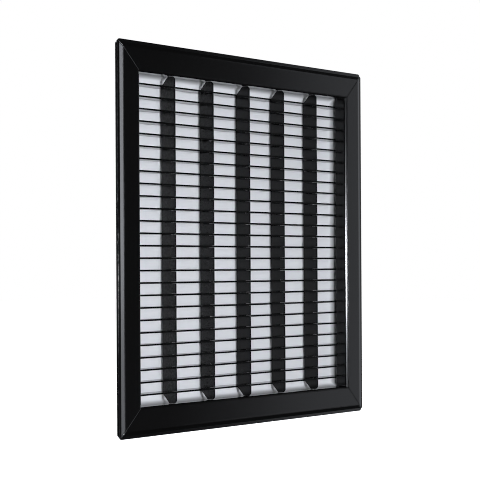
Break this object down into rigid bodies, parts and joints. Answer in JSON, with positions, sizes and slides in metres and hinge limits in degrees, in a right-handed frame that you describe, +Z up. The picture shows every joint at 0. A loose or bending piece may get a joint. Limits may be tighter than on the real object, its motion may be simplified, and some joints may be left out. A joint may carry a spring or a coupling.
{
  "type": "honeycomb light grid",
  "caption": "Square black frame holding a louvre core of interlocked thin horizontal slats and upright fins, in front of a shallow white reflector pan.",
  "frame": {"origin": "centre of the reflector pan's flat back, the face that lies against the lamp", "axes": "+Y out of the back, so the open front faces -Y; +Z up; +X to the right when seen from the front; the slats run along X and the fins along Z"},
  "size_m": [0.4, 0.025, 0.4],
  "materials": {
    "frame_black": "satin black, powder coated",
    "core_black": "semi-gloss black lacquer with a fine grain",
    "pan_white": "matt white",
    "zinc_steel": "zinc plated"
  },
  "bodies": {
    "root": {"top_rail": "frame_black", "left_rail": "frame_black", "bottom_rail": "frame_black", "right_rail": "frame_black", "top_left_key": "zinc_steel", "top_left_key_screw_a": "zinc_steel", "top_left_key_screw_b": "zinc_steel", "bottom_left_key": "zinc_steel", "bottom_left_key_screw_a": "zinc_steel", "bottom_left_key_screw_b": "zinc_steel", "bottom_right_key": "zinc_steel", "bottom_right_key_screw_a": "zinc_steel", "bottom_right_key_screw_b": "zinc_steel", "top_right_key": "zinc_steel", "top_right_key_screw_a": "zinc_steel", "top_right_key_screw_b": "zinc_steel", "slat_01": "core_black", "slat_02": "core_black", "slat_03": "core_black", "slat_04": "core_black", "slat_05": "core_black", "slat_06": "core_black", "slat_07": "core_black", "slat_08": "core_black", "slat_09": "core_black", "slat_10": "core_black", "slat_11": "core_black", "slat_12": "core_black", "slat_13": "core_black", "slat_14": "core_black", "slat_15": "core_black", "slat_16": "core_black", "slat_17": "core_black", "slat_18": "core_black", "slat_19": "core_black", "slat_20": "core_black", "slat_21": "core_black", "slat_22": "core_black", "slat_23": "core_black", "slat_24": "core_black", "slat_25": "core_black", "slat_26": "core_black", "fin_1": "core_black", "fin_2": "core_black", "fin_3": "core_black", "fin_4": "core_black", "fin_5": "core_black", "left_end_plate": "core_black", "right_end_plate": "core_black", "reflector_pan": "pan_white", "pan_screw_top_a": "zinc_steel", "pan_screw_top_b": "zinc_steel", "pan_screw_left_a": "zinc_steel", "pan_screw_left_b": "zinc_steel", "pan_screw_bottom_a": "zinc_steel", "pan_screw_bottom_b": "zinc_steel", "pan_screw_right_a": "zinc_steel", "pan_screw_right_b": "zinc_steel"}
  },
  "joints": []
}
